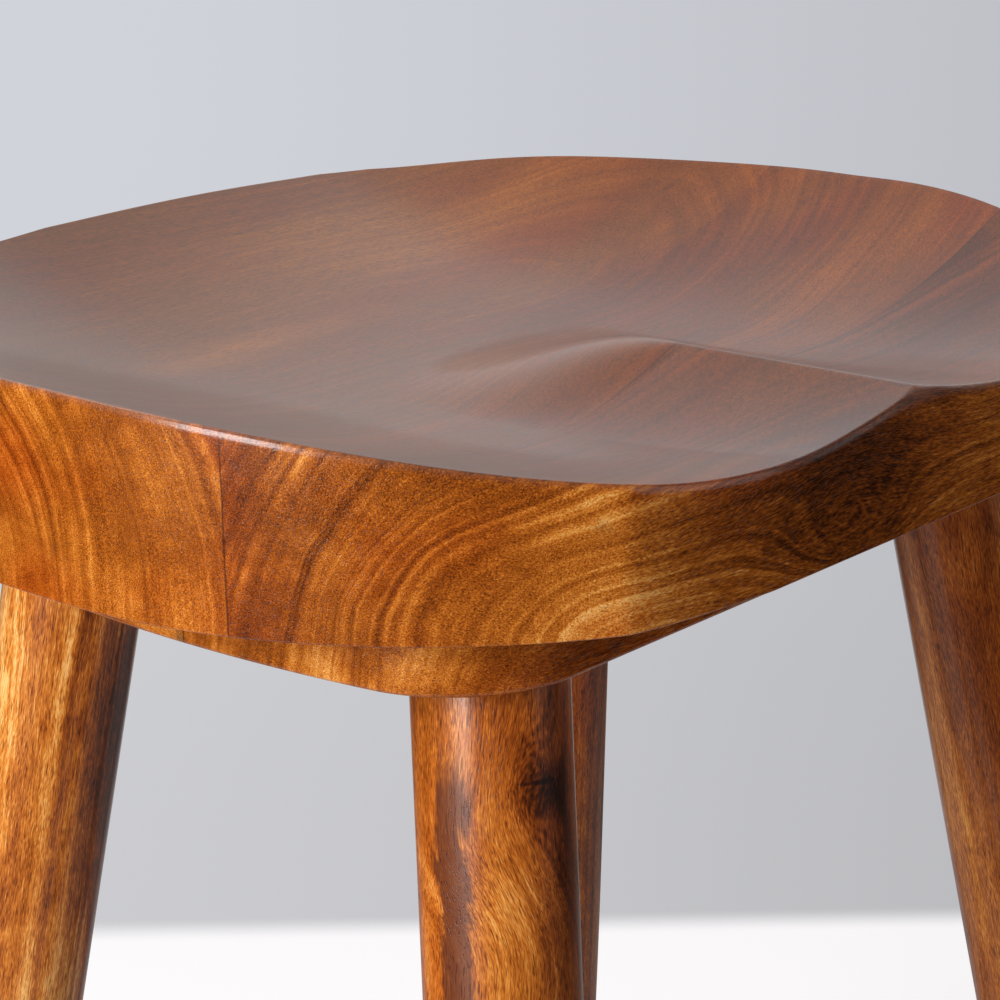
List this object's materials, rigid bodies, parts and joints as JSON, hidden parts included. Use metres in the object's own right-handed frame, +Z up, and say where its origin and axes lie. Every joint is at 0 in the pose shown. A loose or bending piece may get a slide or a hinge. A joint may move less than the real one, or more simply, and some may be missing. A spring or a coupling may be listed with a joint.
{
  "type": "bar stool",
  "caption": "Backless bar stool in solid wood: carved saddle seat of glued boards on a plate, splayed turned legs and foot rails.",
  "frame": {"origin": "on the floor, midway between the feet", "axes": "+Z up, +Y from the front edge with the pommel to the back, +X to the right as seen from the front"},
  "size_m": [0.476, 0.4306, 0.7587],
  "materials": {
    "seat_wood": "satin lacquer over warm brown hardwood",
    "plate_wood": "satin lacquer over warm brown hardwood",
    "leg_wood": "satin lacquer over warm brown hardwood",
    "rail_wood": "satin lacquer over warm brown hardwood",
    "wedge_wood": "bare hardwood",
    "screw_steel": "zinc plated",
    "glide_plastic": "moulded, dark brown",
    "nail_steel": "zinc plated"
  },
  "bodies": {
    "root": {"seat_board_front": "seat_wood", "seat_board_middle": "seat_wood", "seat_board_back": "seat_wood", "plate_board_front": "plate_wood", "plate_board_back": "plate_wood", "leg_front_left": "leg_wood", "leg_front_right": "leg_wood", "leg_back_left": "leg_wood", "leg_back_right": "leg_wood", "leg_wedges": "wedge_wood", "rail_front": "rail_wood", "rail_back": "rail_wood", "rail_left": "rail_wood", "rail_right": "rail_wood", "seat_screws": "screw_steel", "glide_front_left": "glide_plastic", "glide_front_right": "glide_plastic", "glide_back_left": "glide_plastic", "glide_back_right": "glide_plastic", "glide_nails": "nail_steel"}
  },
  "joints": []
}
